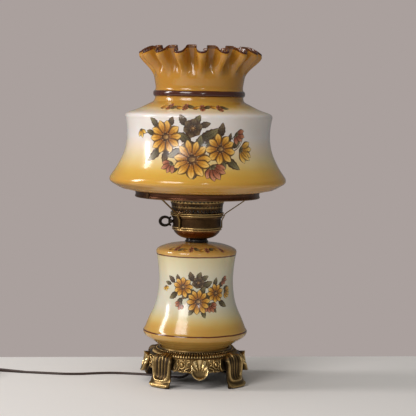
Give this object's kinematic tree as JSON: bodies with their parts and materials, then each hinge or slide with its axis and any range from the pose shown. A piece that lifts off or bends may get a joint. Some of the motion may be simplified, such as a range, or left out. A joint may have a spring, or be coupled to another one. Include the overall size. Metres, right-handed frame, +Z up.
{
  "type": "oil lamp",
  "caption": "Electric table lamp styled as an oil lamp: painted opal glass font and ruffled shade on a cast brass foot, with a burner, key, chimney and mains cord.",
  "frame": {"origin": "on the table, at the middle of the foot, under the lamp's axis", "axes": "+Z up along the pipe, -Y the side with the main flowers, -X the side with the key"},
  "size_m": [0.4909, 0.2534, 0.485],
  "materials": {
    "antique_brass": "cast, polished on the high places, dark patina in the recesses",
    "font_opal_glass": "gloss, painted opal glass, cream body with amber ends",
    "shade_opal_glass": "gloss, painted opal glass, white body with amber rim, shoulder and skirt",
    "black_metal": "satin, blackened",
    "steel": "zinc plated",
    "phenolic": "moulded",
    "burner_bronze": "spun sheet, antique bronze lacquer",
    "bright_brass": "drawn sheet",
    "fibre": "pressed fibre",
    "bulb_glass": "frosted white inside",
    "clear_glass": "clear, blown",
    "ring_copper": "rolled strip, dark copper lacquer",
    "arm_brass": "bent strip, lacquered",
    "cord_vinyl": "two-lobe brown cord, satin",
    "tie_plastic": "flat tie",
    "plug_vinyl": "moulded on",
    "blade_brass": "stamped"
  },
  "bodies": {
    "lamp": {"foot_casting": "antique_brass", "font_glass": "font_opal_glass", "neck_collar": "black_metal", "lamp_pipe": "steel", "lock_washer": "steel", "bottom_nut": "steel", "burner_locknut": "steel", "pipe_bushing": "phenolic", "burner_bowl": "burner_bronze", "burner_band": "burner_bronze", "burner_gallery": "burner_bronze", "socket_cap": "bright_brass", "socket_shell": "bright_brass", "socket_liner": "fibre", "socket_switch_body": "phenolic", "socket_screw_shell": "bright_brass", "socket_contact": "bright_brass", "terminal_screw_1": "bright_brass", "terminal_screw_2": "bright_brass", "shade_ring": "ring_copper", "ring_arm_1": "arm_brass", "ring_arm_2": "arm_brass", "ring_arm_3": "arm_brass", "arm_rivet_1": "arm_brass", "arm_rivet_2": "arm_brass", "arm_rivet_3": "arm_brass", "inner_cord": "cord_vinyl", "lead_1": "cord_vinyl", "lead_2": "cord_vinyl", "cord_tube": "cord_vinyl", "cord_tail": "cord_vinyl", "cord_coil": "cord_vinyl", "cord_tie": "tie_plastic", "plug_body": "plug_vinyl", "plug_blade_1": "blade_brass", "plug_blade_2": "blade_brass"},
    "key": {"key_stem": "black_metal", "key_loop": "black_metal"},
    "bulb": {"bulb_glass": "bulb_glass", "bulb_base": "steel", "bulb_contact": "steel"},
    "chimney": {"chimney_glass": "clear_glass"},
    "shade": {"shade_glass": "shade_opal_glass"}
  },
  "joints": [
    {"name": "key_turn", "type": "hinge", "parent": "lamp", "child": "key", "pos_m": [-0.036, 0, 0.2321], "axis": [-1, 0, 0], "continuous": true},
    {"name": "bulb_unscrew", "type": "slide", "parent": "lamp", "child": "bulb", "axis": [0, 0, 1], "range_m": [0, 0.027]},
    {"name": "chimney_lift", "type": "slide", "parent": "lamp", "child": "chimney", "axis": [0, 0, 1], "range_m": [0, 0.1]},
    {"name": "shade_lift", "type": "slide", "parent": "lamp", "child": "shade", "axis": [0, 0, 1], "range_m": [0, 0.2]}
  ]
}
